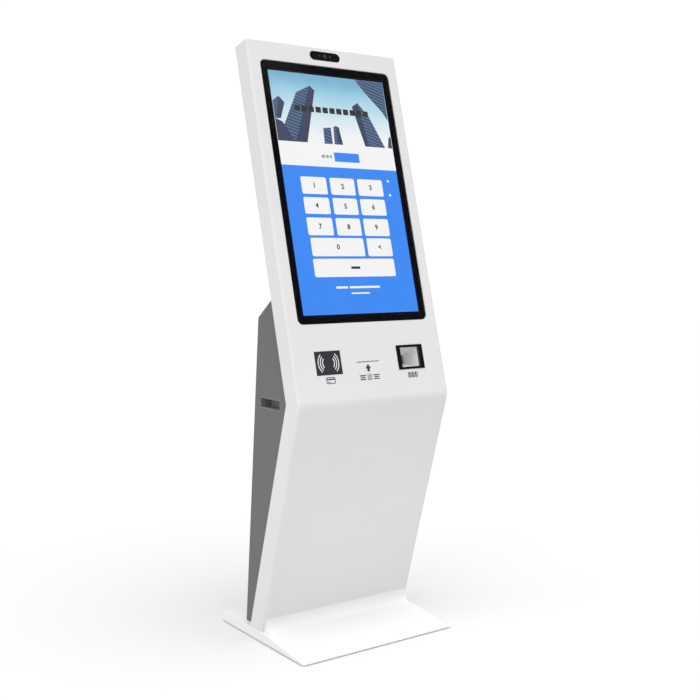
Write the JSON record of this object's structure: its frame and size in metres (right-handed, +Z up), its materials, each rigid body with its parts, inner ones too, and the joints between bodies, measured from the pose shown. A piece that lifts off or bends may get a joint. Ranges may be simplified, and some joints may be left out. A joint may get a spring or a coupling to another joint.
{
  "type": "self checkout kiosk",
  "caption": "Free-standing self checkout kiosk: bent white column on a wedge foot, portrait touch display, card reader, receipt slot, code scanner, gray rear cabinet with a door.",
  "frame": {"origin": "on the floor, under the middle of the foot's outline", "axes": "+X to the right of a user who faces the kiosk, -Y towards that user, +Z up"},
  "size_m": [0.51, 0.44, 1.6669],
  "materials": {
    "shell_white": "satin",
    "cabinet_gray": "satin",
    "base_white": "satin",
    "base_steel": "matt",
    "pad_rubber": "matt",
    "touch_glass": "polished",
    "screen": "satin",
    "frame_steel": "satin",
    "camera_plastic": "gloss",
    "dark_plastic": "satin",
    "reader_window": "gloss",
    "bezel_plastic": "satin",
    "clear_pane": "polished",
    "hood_plastic": "matt",
    "board_case": "matt",
    "galvanised": "satin",
    "chrome": "polished",
    "brass": "satin",
    "printer_plastic": "matt",
    "roller_rubber": "matt",
    "gear_plastic": "satin",
    "lever_green": "gloss",
    "button_blue": "gloss",
    "paper": "matt",
    "core_card": "matt",
    "computer_case": "satin",
    "supply_case": "satin",
    "steel_blade": "polished"
  },
  "bodies": {
    "cabinet": {"base_cover": "base_white", "base_pads": "pad_rubber", "base_plate": "base_steel", "base_ribs": "base_steel", "cabinet_bolts": "galvanised", "cabinet_hinge_leaves": "galvanised", "cabinet_hinge_screws": "galvanised", "cable_grommet": "pad_rubber", "camera_cover": "camera_plastic", "camera_module": "dark_plastic", "card_reader": "dark_plastic", "card_reader_window": "reader_window", "computer": "computer_case", "cover_screws": "galvanised", "display_controller": "board_case", "display_frame": "frame_steel", "display_rails": "galvanised", "equipment_plate": "galvanised", "feed_motor": "galvanised", "front_shell": "shell_white", "head_back_cover": "cabinet_gray", "hinge_pins": "chrome", "lcd_panel": "screen", "lever_pin": "chrome", "network_socket": "dark_plastic", "power_inlet": "dark_plastic", "power_supply": "supply_case", "printer_frame": "printer_plastic", "printer_mount": "galvanised", "rear_cabinet": "cabinet_gray", "roll_holder": "galvanised", "scanner_bezel": "bezel_plastic", "scanner_engine": "dark_plastic", "scanner_hood": "hood_plastic", "scanner_pane": "clear_pane", "side_grip_left": "dark_plastic", "side_grip_right": "dark_plastic", "speakers": "dark_plastic", "touch_glass": "touch_glass"},
    "door": {"rear_door": "cabinet_gray", "door_hinge_leaves": "galvanised", "door_hinge_screws": "galvanised", "lock_barrel": "chrome", "lock_nut": "galvanised", "fan_frame": "dark_plastic"},
    "lock": {"lock_plug": "brass", "lock_cam": "galvanised"},
    "fan": {"fan_rotor": "dark_plastic"},
    "print_cover": {"print_cover": "printer_plastic", "print_head": "supply_case"},
    "cover_lever": {"cover_lever": "lever_green"},
    "platen": {"platen_roller": "roller_rubber", "platen_gear": "gear_plastic"},
    "pinion": {"motor_pinion": "brass"},
    "roll": {"paper_roll": "paper", "paper_core": "core_card"},
    "knife": {"knife": "steel_blade"},
    "feed_button": {"feed_button": "button_blue"},
    "power_switch": {"power_switch": "dark_plastic"},
    "computer_button": {"computer_button": "chrome"}
  },
  "joints": [
    {"name": "rear_door_hinge", "type": "hinge", "parent": "cabinet", "child": "door", "pos_m": [0.20225, 0.07099, 0.52586], "axis": [0, 0.0906, -0.9959], "range_deg": [0, 110]},
    {"name": "lock_turn", "type": "hinge", "parent": "door", "child": "lock", "pos_m": [-0.1685, 0.06451, 0.52527], "axis": [0, 0.9959, 0.0906], "range_deg": [0, 90]},
    {"name": "fan_spin", "type": "hinge", "parent": "door", "child": "fan", "pos_m": [0, 0.02675, 0.80783], "axis": [0, 0.9959, 0.0906], "continuous": true},
    {"name": "print_cover_hinge", "type": "hinge", "parent": "cabinet", "child": "print_cover", "pos_m": [-0.012, -0.15239, 0.80709], "axis": [1, 0, 0], "range_deg": [0, 70]},
    {"name": "cover_lever_pivot", "type": "hinge", "parent": "cabinet", "child": "cover_lever", "pos_m": [-0.012, -0.10467, 0.78414], "axis": [-1, 0, 0], "range_deg": [0, 35], "stiffness_Nm_per_rad": 0.05, "springref_deg": -8.59},
    {"name": "roll_spin", "type": "hinge", "parent": "cabinet", "child": "roll", "pos_m": [-0.012, -0.04801, 0.74021], "axis": [1, 0, 0], "continuous": true},
    {"name": "platen_spin", "type": "hinge", "parent": "cabinet", "child": "platen", "pos_m": [-0.012, -0.14484, 0.77303], "axis": [1, 0, 0], "continuous": true},
    {"name": "pinion_spin", "type": "hinge", "parent": "cabinet", "child": "pinion", "pos_m": [-0.012, -0.12294, 0.75997], "axis": [1, 0, 0], "continuous": true},
    {"name": "knife_slide", "type": "slide", "parent": "cabinet", "child": "knife", "axis": [0, -0.2554, -0.9668], "range_m": [0, 0.009]},
    {"name": "feed_button_press", "type": "slide", "parent": "cabinet", "child": "feed_button", "axis": [0, -0.9668, 0.2554], "range_m": [0, 0.0012], "stiffness_N_per_m": 600, "springref_m": -0.0006},
    {"name": "power_switch_rock", "type": "hinge", "parent": "cabinet", "child": "power_switch", "pos_m": [0.12, 0.09871, 0.10533], "axis": [-1, 0, 0], "range_deg": [0, 22]},
    {"name": "computer_button_press", "type": "slide", "parent": "cabinet", "child": "computer_button", "axis": [0, -0.9573, -0.289], "range_m": [0, 0.0015], "stiffness_N_per_m": 600, "springref_m": -0.0006}
  ],
  "couplings": [
    {"joint": "platen_spin", "follows": "roll_spin", "ratio": 6},
    {"joint": "pinion_spin", "follows": "roll_spin", "ratio": -12}
  ]
}
